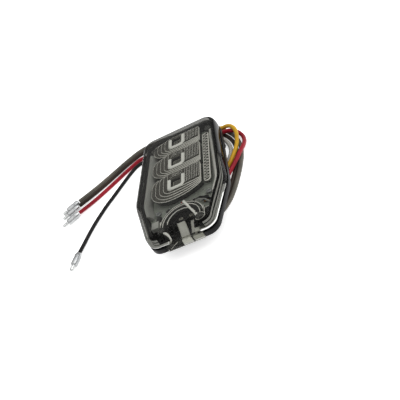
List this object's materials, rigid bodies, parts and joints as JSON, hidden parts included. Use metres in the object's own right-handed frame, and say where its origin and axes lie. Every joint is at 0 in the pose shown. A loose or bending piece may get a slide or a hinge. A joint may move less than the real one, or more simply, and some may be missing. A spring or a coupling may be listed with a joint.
{
  "type": "motorcycle tail light",
  "caption": "Elongated six-sided LED tail light with a clear lens, stepped optics in a row, a number-plate light at one end and loose leads from the back.",
  "frame": {"origin": "centre of the unit in plan, on the plane of the rear bosses and feet", "axes": "+X across the unit, to the side of the ribbed light strip; +Y along the unit, away from the number-plate end; +Z out through the lens"},
  "size_m": [0.1475, 0.131, 0.0244],
  "materials": {
    "housing_plastic": "moulded black, satin",
    "lens_clear": "clear polycarbonate, polished",
    "seal_rubber": "matt foam rubber",
    "bezel_plastic": "gloss black",
    "reflector_satin": "satin grey metallised plastic",
    "optic_clear": "clear moulded optic",
    "board_mask": "grey-green solder mask",
    "led_package": "pale package with a dark die window",
    "chip_black": "moulded epoxy",
    "screw_steel": "zinc plated",
    "insert_brass": "turned",
    "hood_black": "matt black",
    "bar_pale": "pale moulded diffuser",
    "grommet_rubber": "moulded rubber",
    "vent_cloth": "woven membrane",
    "connector_tin": "tinned, with a clear sleeve",
    "insulation_grey": "soft PVC",
    "insulation_brown": "soft PVC",
    "insulation_red": "soft PVC",
    "insulation_yellow": "soft PVC",
    "insulation_white": "soft PVC",
    "insulation_black": "soft PVC"
  },
  "bodies": {
    "root": {"rear_housing": "housing_plastic", "lens_cover": "lens_clear", "lens_seal": "seal_rubber", "inner_bezel": "bezel_plastic", "reflector_left": "reflector_satin", "reflector_right": "reflector_satin", "side_light_guide_right": "optic_clear", "side_light_guide_left": "optic_clear", "circuit_board": "board_mask", "light_strip": "optic_clear", "plate_light_hood": "hood_black", "plate_light_bar_left": "bar_pale", "plate_light_bar_right": "bar_pale", "plate_led_left": "led_package", "plate_led_right": "led_package", "plate_window": "lens_clear", "driver_chip": "chip_black", "inductor": "chip_black", "protection_diode": "chip_black", "cable_grommet": "grommet_rubber", "vent_membrane": "vent_cloth", "threaded_insert_1": "insert_brass", "threaded_insert_2": "insert_brass", "board_screw_1": "screw_steel", "board_screw_2": "screw_steel", "optic_near": "optic_clear", "main_led_near": "led_package", "optic_middle": "optic_clear", "main_led_middle": "led_package", "optic_far": "optic_clear", "main_led_far": "led_package", "side_led_1": "led_package", "side_led_2": "led_package", "side_led_3": "led_package", "side_led_4": "led_package", "resistor_1": "chip_black", "resistor_2": "chip_black", "resistor_3": "chip_black", "lens_post_near_right": "lens_clear", "lens_screw_near_right": "screw_steel", "lens_post_near_left": "lens_clear", "lens_screw_near_left": "screw_steel", "lens_post_far_right": "lens_clear", "lens_screw_far_right": "screw_steel", "lens_post_far_left": "lens_clear", "lens_screw_far_left": "screw_steel", "wire_grey": "insulation_grey", "connector_grey": "connector_tin", "wire_brown": "insulation_brown", "connector_brown": "connector_tin", "wire_red": "insulation_red", "connector_red": "connector_tin", "wire_yellow": "insulation_yellow", "connector_yellow": "connector_tin", "wire_white": "insulation_white", "connector_white": "connector_tin", "wire_black": "insulation_black", "connector_black": "connector_tin"}
  },
  "joints": []
}
